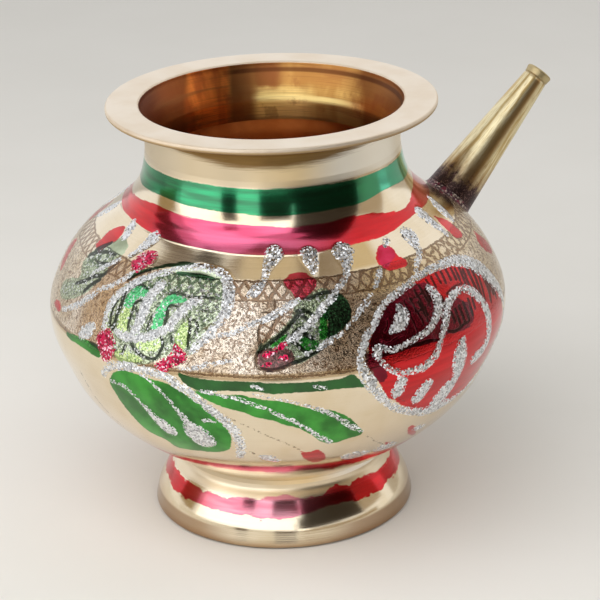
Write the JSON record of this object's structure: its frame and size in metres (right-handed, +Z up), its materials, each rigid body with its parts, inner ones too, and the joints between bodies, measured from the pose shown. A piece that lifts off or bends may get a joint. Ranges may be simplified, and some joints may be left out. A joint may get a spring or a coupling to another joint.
{
  "type": "spouted brass ritual pot",
  "caption": "Small round-bellied brass pot with a flat flared rim, a slanting side spout and a ring foot, for carrying and pouring water in ritual use.",
  "frame": {"origin": "on the surface the pot stands on, at the middle of the whole outline seen from above; the pot's own axis is 10.7 mm toward -X from it, because the spout reaches past the belly", "axes": "+Z up, +X the way the spout leans, +Y to the left of someone looking along +X"},
  "size_m": [0.1316, 0.11, 0.1023],
  "materials": {
    "polished_brass": "spun, polished, partly painted with clear coloured lacquer",
    "brushed_brass": "lathe-turned, pale satin",
    "toned_brass": "polished, slightly tarnished",
    "braze": "dull braze"
  },
  "bodies": {
    "root": {"rim_collar": "brushed_brass", "neck_seam": "braze", "upper_bowl": "polished_brass", "belly_seam": "braze", "lower_bowl": "polished_brass", "foot_seam": "braze", "foot_ring": "polished_brass", "spout_tube": "toned_brass", "spout_bead": "braze", "spout_lip": "toned_brass"}
  },
  "joints": []
}
